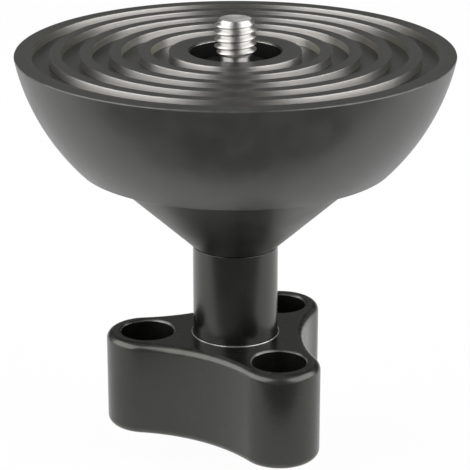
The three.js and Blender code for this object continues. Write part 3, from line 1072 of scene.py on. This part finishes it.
@dataclass
class CameraScrew:
    """The bright camera screw and the black stud that it is screwed into."""

    ball: HalfBall
    major: float = 4.7 * MM
    pitch: float = 25.4 / 16 * MM
    top_radius: float = 3.5 * MM
    top_round: float = 0.12 * MM
    neck_radius: float = 3.25 * MM
    neck_height: float = 2 * MM
    neck_sink: float = 1 * MM
    seat_fit: float = 0.08 * MM
    small_round: float = 0.3 * MM
    stud_radius: float = 6 * MM
    stud_pitch: float = 1.75 * MM
    stud_steps: int = 48
    stud_chamfer: float = 1 * MM
    head_radius: float = 7.4 * MM
    grub_bore: float = 1.3 * MM
    grub_steps: int = 32
    # A face is the sawn end above the one value of its normal's height, and below the other it faces down
    # and is darkened as painted shade.
    end_normal: float = 0.99
    shade_normal: float = -0.5

    def screw(self) -> None:
        """Builds the screw: a seat in the stud's head, a plain neck and the thread."""
        foot, top = low("mount_screw"), high("mount_screw")
        head_top = high("draw_stud")
        neck_top = head_top + self.neck_height
        thread = Thread(self.major, self.pitch)

        def limit(height: float) -> float:
            """Greatest radius: a bevel at each end of the thread."""
            return min(thread.root + height - neck_top, self.top_radius + top - height)

        def part_of(face: Face) -> Finish:
            """Turned side, sawn end, or lower side of the thread darkened as painted shade."""
            if abs(face.normal.z) > self.end_normal:
                return STAINLESS_END
            return STAINLESS_PAINTED_SHADE if face.normal.z < self.shade_normal else STAINLESS

        mesh, lower, upper = thread.surface(neck_top, top, limit)
        capped(mesh, upper, [(self.top_radius - self.top_round, top)])
        capped(mesh, lower, [
            (self.neck_radius + self.small_round, neck_top),
            (self.neck_radius, neck_top - self.small_round),
            (self.neck_radius, head_top - self.neck_sink),
            (self.major, head_top - self.neck_sink),
            (self.major, foot + self.small_round),
            (self.major - self.small_round, foot),
        ])
        place_piece("camera_screw", tidied(mesh), "mount_screw", Body.BALL,
                    (STAINLESS, STAINLESS_END, STAINLESS_PAINTED_SHADE), part_of)

    def stud(self) -> None:
        """Builds the stud: a round head with the screw's seat and a long threaded shank."""
        foot, top = low("draw_stud"), high("draw_stud")
        shoulder = high("half_ball") - self.ball.well_depth
        web_foot = shoulder - self.ball.web
        seat = self.major + self.seat_fit
        thread = Thread(self.stud_radius, self.stud_pitch, steps=self.stud_steps)

        def limit(height: float) -> float:
            """Greatest radius: a chamfer at the foot."""
            return self.stud_radius - self.stud_chamfer + height - foot

        mesh, lower, upper = thread.surface(foot, web_foot, limit)
        bmesh.ops.holes_fill(mesh, edges=lower)
        capped(mesh, upper, [(self.stud_radius, web_foot), *profile([
            Corner(self.stud_radius, shoulder),
            Corner(self.head_radius, shoulder, self.small_round),
            Corner(self.head_radius, top, self.small_round),
            Corner(seat, top, self.small_round / 2),
            Corner(seat, low("mount_screw") - self.small_round),
        ])])
        place = (Matrix.Translation((0, self.head_radius, (shoulder + top) / 2))
                 @ Matrix.Rotation(QUARTER_TURN, 4, "X")
                 @ Matrix.Rotation(math.pi / self.grub_steps, 4, "Z"))
        mesh = drilled(mesh, self.grub_bore, self.head_radius, self.grub_steps, place)
        place_piece("draw_stud_black", mesh, "draw_stud", Body.BALL, (OXIDE,))


@dataclass
class StudFastening:
    """Grub screw in the stud's head, and the washers and nut that hold the stud under the web."""

    hole: float = 6.3 * MM
    washer_radius: float = 12 * MM
    spring_radius: float = 10.5 * MM
    spring_slit: float = 1.5 * MM
    spring_slant: float = math.radians(25)
    across_flats: float = 18 * MM
    nut_shoulder: float = 8.4 * MM
    nut_edge: float = 0.6 * MM
    nut_slope: float = math.radians(30)
    edge: float = 0.3 * MM
    grub_radius: float = 1.2 * MM
    grub_socket: float = 1.2 * MM
    grub_socket_depth: float = 1 * MM

    def washer(self) -> None:
        """Builds the plain washer under the web."""
        radii = (self.hole, self.washer_radius)
        place_ring("plain_washer", "stud_washer", Body.BALL, ZINC, radii, self.edge)

    def spring_washer(self) -> None:
        """Builds the spring washer, split by a slanted slit."""
        bottom, top = low("stud_lock_washer"), high("stud_lock_washer")
        middle = (self.hole + self.spring_radius) / 2
        gap = self.spring_slit / middle
        mesh = turned([
            Corner(self.hole, bottom, self.edge / 2),
            Corner(self.spring_radius, bottom, self.edge / 2),
            Corner(self.spring_radius, top, self.edge / 2),
            Corner(self.hole, top, self.edge / 2),
        ], turn=FULL_TURN - gap)
        bmesh.ops.holes_fill(mesh, edges=[edge for edge in mesh.edges if edge.is_boundary])
        for vert in mesh.verts:
            lean = (vert.co.z - (bottom + top) / 2) * math.tan(self.spring_slant) / middle
            vert.co.rotate(Matrix.Rotation(gap / 2 - lean, 3, "Z"))
        place_piece("spring_washer", tidied(mesh), "stud_lock_washer", Body.BALL, (ZINC,))

    def nut(self) -> None:
        """Builds the hexagonal nut, with both faces bevelled."""
        bottom, top = low("stud_nut"), high("stud_nut")
        half = (top - bottom) / 2
        mesh = new_mesh()
        edges = hexagon_edges(mesh, self.across_flats, 0.0)
        verts, edges = new_loop(bmesh.ops.extrude_edge_only(mesh, edges=edges)["geom"])
        for vert in verts:
            beyond = math.hypot(vert.co.x, vert.co.y) - self.nut_shoulder
            vert.co.z = half - max(beyond, 0.0) * math.tan(self.nut_slope)
        sink(mesh, edges, [
            (self.nut_shoulder, half),
            (self.hole + self.nut_edge, half),
            (self.hole, half - self.nut_edge),
            (self.hole, 0.0),
        ])
        bmesh.ops.mirror(mesh, geom=mesh.verts[:] + mesh.edges[:] + mesh.faces[:], axis="Z",
                         merge_dist=WELD)
        mesh = shifted(tidied(mesh), bottom + half)
        place_piece("hexagon_nut", mesh, "stud_nut", Body.BALL, (ZINC,))

    def lock_grub(self) -> None:
        """Builds the small grub screw that bears on the camera screw."""
        inner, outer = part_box("screw_lock_grub")
        screw = GrubScrew(self.grub_radius, outer.y - inner.y, self.grub_socket, self.grub_socket_depth)
        place = (Matrix.Translation((0, inner.y, (inner.z + outer.z) / 2))
                 @ Matrix.Rotation(-QUARTER_TURN, 4, "X"))
        place_piece("small_grub", screw.mesh(place), "screw_lock_grub", Body.BALL, (OXIDE,))


@dataclass
class Clamp:
    """The cone that grips the bowl from below, with its bush and thrust washer."""

    foot_radius: float = 9.9 * MM
    rim_band: float = 0.8 * MM
    hub_radius: float = 10 * MM
    hub_rise: float = 1 * MM
    bore: float = 6.5 * MM
    bush_radius: float = 7.8 * MM
    bush_bore: float = 6.1 * MM
    bush_fit: float = 0.06 * MM
    recess_radius: float = 8.75 * MM
    recess_depth: float = 1.15 * MM
    thrust_radius: float = 8.6 * MM
    thrust_bore: float = 6.3 * MM
    edge: float = 0.3 * MM
    steps: int = 144

    def cone(self) -> None:
        """Builds the cone itself."""
        foot, top = low("clamp_cone"), high("clamp_cone")
        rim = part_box("clamp_cone")[1].x
        shoulder = top - self.hub_rise
        seat, seat_floor = self.bush_radius + self.bush_fit, low("cone_bush")
        mesh = turned([
            Corner(self.bore, foot + self.recess_depth, self.edge),
            Corner(self.recess_radius, foot + self.recess_depth),
            Corner(self.recess_radius, foot, self.edge / 2),
            Corner(self.foot_radius, foot, self.edge / 2),
            Corner(rim, shoulder - self.rim_band - self.edge, self.edge),
            Corner(rim, shoulder, self.edge),
            Corner(self.hub_radius, shoulder, self.edge),
            Corner(self.hub_radius, top, self.edge),
            Corner(seat, top, self.edge / 2),
            Corner(seat, seat_floor),
            Corner(self.bore, seat_floor, self.edge / 2),
        ], self.steps)
        place_piece("cone", mesh, "clamp_cone", Body.CLAMP, (CONE_MATT_PAINTED_SHADE,))

    def bush(self) -> None:
        """Builds the plain bush that guides the cone on the stud."""
        radii = (self.bush_bore, self.bush_radius)
        place_ring("bush", "cone_bush", Body.CLAMP, ACETAL, radii, self.edge)

    def thrust_washer(self) -> None:
        """Builds the washer between the turning sleeve and the cone."""
        radii = (self.thrust_bore, self.thrust_radius)
        place_ring("slip_washer", "thrust_washer", Body.CLAMP, ACETAL, radii, self.edge / 2)


@dataclass
class Stem:
    """The knob's plain stem and the threaded insert in it."""

    radius: float = 9.77 * MM
    edge: float = 0.15 * MM
    bore: float = 6.6 * MM
    floor: float = 6.8 * MM
    screw_hole: float = 3.08 * MM
    insert_radius: float = 8 * MM
    insert_bore: float = 6.1 * MM
    insert_fit: float = 0.06 * MM
    steps: int = 128

    def sleeve(self) -> None:
        """Builds the stem."""
        foot, top = low("knob_sleeve"), high("knob_sleeve")
        seat = low("sleeve_insert")
        pocket = self.insert_radius + self.insert_fit
        mesh = turned([
            Corner(self.screw_hole, foot),
            Corner(self.radius, foot, self.edge),
            Corner(self.radius, top, self.edge),
            Corner(pocket, top, self.edge / 2),
            Corner(pocket, seat),
            Corner(self.bore, seat),
            Corner(self.bore, foot + self.floor),
            Corner(self.screw_hole, foot + self.floor),
        ], self.steps)
        place_piece("stem", mesh, "knob_sleeve", Body.KNOB, (STEM_SATIN,))

    def insert(self) -> None:
        """Builds the threaded insert."""
        radii = (self.insert_bore, self.insert_radius)
        place_ring("threaded_insert", "sleeve_insert", Body.KNOB, BRASS, radii, self.edge)


@dataclass
class Knob:
    """The three-lobed hand knob, with the screws that fix it to its stem."""

    stem: Stem
    edge_round: float = 1.8 * MM
    round_wear: float = 0.05
    hole_wear: float = 0.5
    seat_wear: float = 1.0
    lobe_count: int = 3
    lobe_centre: float = 20.9 * MM
    lobe_radius: float = 9.15 * MM
    lobe_turn: float = math.radians(-61.4)
    flank_radius: float = 37 * MM
    hole_centre: float = 20.5 * MM
    hole_radius: float = 6.2 * MM
    hole_edge: float = 0.4 * MM
    hole_soften: float = 0.12 * MM
    seat_radius: float = 9.85 * MM
    bead: float = 0.4 * MM
    bead_round: float = 0.18 * MM
    screw_bore: float = 3.3 * MM
    counterbore: float = 7.5 * MM
    small_edge: float = 0.2 * MM
    grub_radius: float = 2.5 * MM
    grub_length: float = 4.6 * MM
    grub_drop: float = 6.3 * MM
    grub_gap: float = 0.1 * MM
    grub_socket: float = 2.5 * MM
    grub_socket_depth: float = 2.1 * MM
    grub_bore: float = 2.6 * MM
    grub_bore_start: float = 5 * MM
    grub_bore_steps: int = 48
    screw_radius: float = 3 * MM
    screw_head: float = 5 * MM
    screw_head_height: float = 4 * MM
    screw_socket: float = 4 * MM
    screw_socket_depth: float = 2.2 * MM
    washer_radius: float = 6 * MM
    lobe_steps: int = 44
    flank_steps: int = 26
    round_steps: int = 8
    hole_steps: int = 72

    @property
    def pitch(self) -> float:
        """Angle from one lobe to the next."""
        return FULL_TURN / self.lobe_count

    def outline(self) -> list[Point]:
        """Plan of the knob: round lobes and hollow flanks, tangent where they meet.

        Returns:
            Its points, against the clock.
        """
        half = self.pitch / 2
        reach = self.flank_radius + self.lobe_radius
        across = self.lobe_centre * math.sin(half)
        flank_centre = self.lobe_centre * math.cos(half) + math.sqrt(reach ** 2 - across ** 2)
        lean = math.asin(across / reach)
        points = []
        for index in range(self.lobe_count):
            lobe = self.lobe_turn + index * self.pitch
            back = lobe + half + math.pi
            points += arc(self._out(lobe, self.lobe_centre), self.lobe_radius,
                          lobe - half - lean, lobe + half + lean, self.lobe_steps)
            points += arc(self._out(lobe + half, flank_centre), self.flank_radius,
                          back + lean, back - lean, self.flank_steps)[1:-1]
        return points

    @staticmethod
    def _out(turn: float, reach: float) -> Point:
        """The point that lies so far from the knob's axis."""
        return (reach * math.cos(turn), reach * math.sin(turn))

    def block(self) -> BMesh:
        """The knob's outside, open at the top and at the bottom.

        Returns:
            The mesh.
        """
        bottom, top = low("tri_knob"), high("tri_knob")
        mesh = new_mesh()
        rub = mesh.verts.layers.float[RUB]
        base = mesh.faces.new([mesh.verts.new((x, y, bottom)) for x, y in self.outline()])
        made = bmesh.ops.extrude_face_region(mesh, geom=[base])["geom"]
        raised = [item for item in made if isinstance(item, Vert)]
        bmesh.ops.translate(mesh, verts=raised, vec=(0, 0, top - bottom))
        rims = [edge for edge in mesh.edges if lies_at(edge, bottom) or lies_at(edge, top)]
        bmesh.ops.bevel(mesh, geom=rims, offset=self.edge_round, offset_type="OFFSET",
                        segments=self.round_steps, profile=0.5, affect="EDGES", material=-1)
        caps = [face for face in mesh.faces if len(face.verts) > 4]
        bmesh.ops.delete(mesh, geom=caps, context="FACES_ONLY")
        middle = (bottom + top) / 2
        for vert in mesh.verts:
            beyond = abs(vert.co.z - middle) - (middle - bottom - self.edge_round)
            vert[rub] = self.round_wear if WELD < beyond < self.edge_round - WELD else 0.0
        return mesh

    def _holes(self) -> list[tuple[list[Point], Vector]]:
        """The stepped centre hole and the holes in the lobes.

        Returns:
            Radius and height of the rings of each hole, from the top, and a point on its axis.
        """
        bottom, top = low("tri_knob"), high("tri_knob")
        seat, counter = low("knob_sleeve"), high("knob_washer")
        bead_top = top + self.bead / 2
        centre_hole = profile([
            Corner(self.seat_radius + self.bead, top),
            Corner(self.seat_radius + self.bead, bead_top, self.bead_round),
            Corner(self.seat_radius, bead_top, self.bead_round),
            Corner(self.seat_radius, seat),
            Corner(self.screw_bore, seat),
            Corner(self.screw_bore, counter),
            Corner(self.counterbore, counter),
            Corner(self.counterbore, bottom + self.small_edge),
            Corner(self.counterbore + self.small_edge, bottom),
        ])
        lobe_hole = profile([
            Corner(self.hole_radius + self.hole_edge, top),
            Corner(self.hole_radius, top - self.hole_edge, self.hole_soften),
            Corner(self.hole_radius, bottom + self.hole_edge, self.hole_soften),
            Corner(self.hole_radius + self.hole_edge, bottom),
        ])
        lobes = [self.lobe_turn + index * self.pitch for index in range(self.lobe_count)]
        places = [Vector((*self._out(lobe, self.hole_centre), 0.0)) for lobe in lobes]
        return [(centre_hole, Vector()), *((lobe_hole, place) for place in places)]

    def knob(self) -> None:
        """Builds the knob, with its holes and seats."""
        bottom, top = low("tri_knob"), high("tri_knob")
        mesh = self.block()
        rims = {
            height: [edge for edge in mesh.edges if edge.is_boundary and lies_at(edge, height)]
            for height in (bottom, top)
        }
        holes = self._holes()
        for rings, centre in holes:
            rims[top] += ring_edges(mesh, *rings[0], self.hole_steps, centre)
            rims[bottom] += ring_edges(mesh, *rings[-1], self.hole_steps, centre)
        for height, edges in rims.items():
            bmesh.ops.triangle_fill(mesh, use_beauty=True, use_dissolve=False, edges=edges,
                                    normal=(0, 0, 1 if height == top else -1))
        for rings, centre in holes:
            start = [edge for edge in mesh.edges if self._on_ring(edge, *rings[0], centre)]
            known = set(mesh.verts)
            sink(mesh, start, rings[1:], centre)
            rub = mesh.verts.layers.float[RUB]
            wear = self.hole_wear if centre.length else self.seat_wear
            for vert in mesh.verts:
                if vert not in known:
                    low_edge = WELD < vert.co.z - bottom < self.hole_edge
                    vert[rub] = wear if low_edge or vert.co.z > top - self.hole_edge else 0.0
        place = self._grub_place(self.lobe_centre + self.grub_bore_start)
        mesh = drilled(mesh, self.grub_bore, 2 * self.lobe_centre, self.grub_bore_steps, place)
        place_piece("three_lobed_knob", mesh, "tri_knob", Body.KNOB, (KNOB_SATIN,))

    @staticmethod
    def _on_ring(edge: Edge, radius: float, height: float, centre: Vector) -> bool:
        """Whether an edge lies on a round loop."""
        reaches = [math.hypot(vert.co.x - centre.x, vert.co.y - centre.y) for vert in edge.verts]
        return lies_at(edge, height) and all(abs(reach - radius) < WELD for reach in reaches)

    def _grub_place(self, out: float) -> Matrix:
        """Places something on the grub screw's axis.

        Args:
            out: How far it is from the knob's axis.

        Returns:
            Its place and its turn, where its own axis is vertical before.
        """
        turn = self.lobe_turn + self.pitch * 3 / 2
        return (Matrix.Rotation(turn, 4, "Z")
                @ Matrix.Translation((out, 0, high("tri_knob") - self.grub_drop))
                @ Matrix.Rotation(QUARTER_TURN, 4, "Y"))

    def grub(self) -> None:
        """Builds the grub screw in the back flank."""
        screw = GrubScrew(self.grub_radius, self.grub_length, self.grub_socket, self.grub_socket_depth)
        place = self._grub_place(self.stem.radius + self.grub_gap)
        place_piece("flank_grub", screw.mesh(place), "knob_grub", Body.KNOB, (OXIDE,))

    def washer(self) -> None:
        """Builds the washer under the head of the knob's screw."""
        radii = (self.screw_bore, self.washer_radius)
        place_ring("screw_washer", "knob_washer", Body.KNOB, ZINC, radii, self.small_edge)

    def screw(self) -> None:
        """Builds the low cap screw that holds the knob from below."""
        foot, top = low("knob_screw"), high("knob_screw")
        neck = foot + self.screw_head_height
        mesh = new_mesh()
        mouth = socket_edges(mesh, self.screw_socket, foot + self.screw_socket_depth, foot)
        capped(mesh, mouth, profile([
            Corner(self.screw_head - 2 * self.small_edge, foot),
            Corner(self.screw_head, foot, self.small_edge),
            Corner(self.screw_head, neck, self.small_edge),
            Corner(self.screw_radius, neck),
            Corner(self.screw_radius, top - self.small_edge),
            Corner(self.screw_radius - self.small_edge, top),
        ]))
        place_piece("cap_screw", tidied(mesh), "knob_screw", Body.KNOB, (STAINLESS,))


@dataclass(frozen=True)
class SoftBox:
    """A lamp with a flat rectangular face that looks at the object.

    Attributes:
        name: Its name.
        bearing: Direction that it shines from, to the right of the camera's side.
        rise: How high it hangs, as an angle over the floor.
        width: Width of its face.
        height: Height of its face.
        radiance: How bright its face is, where a white floor in plain light has 1.
        distance: How far it is from the point that it looks at.
        aim: Height of that point on the object's axis.
    """

    name: str
    bearing: float
    rise: float
    width: float
    height: float
    radiance: float
    distance: float = 0.9
    aim: float = 0.07

    def hang(self) -> None:
        """Hangs the lamp."""
        data = bpy.data.lights.new(self.name, "AREA")
        data.shape = "RECTANGLE"
        data.size, data.size_y = self.width, self.height
        data.energy = self.radiance * math.pi * self.width * self.height
        turn, rise = math.radians(self.bearing), math.radians(self.rise)
        way = Vector((math.sin(turn) * math.cos(rise), -math.cos(turn) * math.cos(rise), math.sin(rise)))
        lamp = bpy.data.objects.new(self.name, data)
        lamp.location = Vector((0.0, 0.0, self.aim)) + way * self.distance
        lamp.rotation_euler = (-way).to_track_quat("-Z", "Y").to_euler()
        lamp.visible_camera = False
        bpy.context.scene.collection.objects.link(lamp)


@dataclass(frozen=True)
class Sheet:
    """A flat level sheet that belongs to the studio.

    Attributes:
        name: Its name.
        across: Its left and right edge.
        along: Its front and back edge.
        height: Its height.
        white: How much light it gives back.
    """

    name: str
    across: Span
    along: Span
    height: float
    white: float

    def lay(self) -> tuple[bpy.types.Object, Wiring, Socket]:
        """Lays the sheet.

        Returns:
            The sheet, and the wiring and the matt shader of its material, which isn't shown yet.
        """
        mesh = bmesh.new()
        bmesh.ops.create_grid(mesh, x_segments=1, y_segments=1, size=0.5)
        edges = (self.across, self.along)
        bmesh.ops.scale(mesh, verts=mesh.verts, vec=(*(end - start for start, end in edges), 1.0))
        bmesh.ops.translate(mesh, verts=mesh.verts, vec=(*(sum(pair) / 2 for pair in edges), self.height))
        data = bpy.data.meshes.new(self.name)
        mesh.to_mesh(data)
        mesh.free()
        sheet = bpy.data.objects.new(self.name, data)
        bpy.context.scene.collection.objects.link(sheet)
        material, wiring = wired_material(self.name)
        data.materials.append(material)
        return sheet, wiring, wiring.add("ShaderNodeBsdfDiffuse", {"Color": grey(self.white)})[0]


@dataclass
class Studio:
    """Floor, lamps and the camera of the photograph."""

    boxes: tuple[SoftBox, ...] = (
        SoftBox("left side box", -72, 31, 1.4, 0.95, 3.3),
        SoftBox("right side box", 73, 31, 1.4, 0.95, 3.2),
        SoftBox("back box", 180, 22, 0.5, 0.45, 0.18),
    )
    floor: Sheet = Sheet("white floor", (-2.0, 2.0), (-2.0, 3.0), -9 * MM, 0.92)
    floor_glow: float = 0.96
    # A grey sheet that only glossy rays see: painted shade in the object's reflections of the floor before
    # it.
    reflection_shade_card: Sheet = Sheet("grey card seen only in reflections", (-0.6, 0.6), (-1.6, -0.055), 0.0, 0.17)
    room_grey: float = 0.035
    # How far along and how high the camera stands.
    eye: Point = (-0.43027, 0.19959)
    pitch: float = math.radians(90 - 19.594)
    lens: float = 152.545
    sensor: float = 36.0
    shift: float = -0.00089
    clip: Span = (0.01, 20.0)

    def build(self) -> None:
        """Sets up everything that isn't the object."""
        self._stand_camera()
        self._lay_floor()
        self._lay_reflection_shade_card()
        for box in self.boxes:
            box.hang()
        self._paint_room()
        bpy.context.scene.view_settings.view_transform = "Standard"

    def _stand_camera(self) -> None:
        """Stands the camera where the photograph was taken from."""
        data = bpy.data.cameras.new("camera")
        data.lens = self.lens
        data.sensor_width = self.sensor
        data.shift_x = self.shift
        data.clip_start, data.clip_end = self.clip
        camera = bpy.data.objects.new("camera", data)
        camera.location = (0.0, *self.eye)
        camera.rotation_euler = (self.pitch, 0.0, 0.0)
        bpy.context.scene.collection.objects.link(camera)
        bpy.context.scene.camera = camera

    def _lay_floor(self) -> None:
        """Lays a white floor that is clear from below, deep enough for the knob's lowest place."""
        _, wiring, matt = self.floor.lay()
        lit = wiring.add("ShaderNodeEmission", {"Strength": 1.0})[0]
        path = wiring.add("ShaderNodeLightPath")
        mirrored = wiring.math("MAXIMUM", path["Is Glossy Ray"], path["Is Transmission Ray"])
        seen = wiring.math("MAXIMUM", path["Is Camera Ray"], mirrored)
        upper = wiring.blend(wiring.product(seen, self.floor_glow), matt, lit)
        from_below = wiring.add("ShaderNodeNewGeometry")["Backfacing"]
        wiring.show(wiring.blend(from_below, upper, wiring.add("ShaderNodeBsdfTransparent")[0]))

    def _lay_reflection_shade_card(self) -> None:
        """Lays a grey sheet before the object that only reflections show: painted shade in the object's
        reflections of its lower front.
        """
        reflection_shade_card, wiring, matt = self.reflection_shade_card.lay()
        wiring.show(matt)
        reflection_shade_card.visible_camera = False
        reflection_shade_card.visible_diffuse = False
        reflection_shade_card.visible_transmission = False
        reflection_shade_card.visible_shadow = False

    def _paint_room(self) -> None:
        """Gives the room a plain grey."""
        world = bpy.data.worlds.new("grey room")
        bpy.context.scene.world = world
        world.use_nodes = True
        wiring = Wiring(world.node_tree)
        room = wiring.add("ShaderNodeBackground", {"Color": grey(self.room_grey)})[0]
        wiring.show(room, "ShaderNodeOutputWorld")


def main() -> None:
    """Builds the adapter piece by piece and sets up its studio."""
    logging.basicConfig(level=logging.INFO, format="%(message)s")
    ball = HalfBall()
    screw = CameraScrew(ball)
    fastening = StudFastening()
    clamp = Clamp()
    stem = Stem()
    knob = Knob(stem)
    steps = (
        ball.build,
        screw.screw, screw.stud,
        fastening.lock_grub, fastening.washer, fastening.spring_washer, fastening.nut,
        clamp.cone, clamp.bush, clamp.thrust_washer,
        stem.sleeve, stem.insert,
        knob.knob, knob.grub, knob.washer, knob.screw,
        Studio().build,
    )
    for step in steps:
        step()


if __name__ == "__main__":
    main()
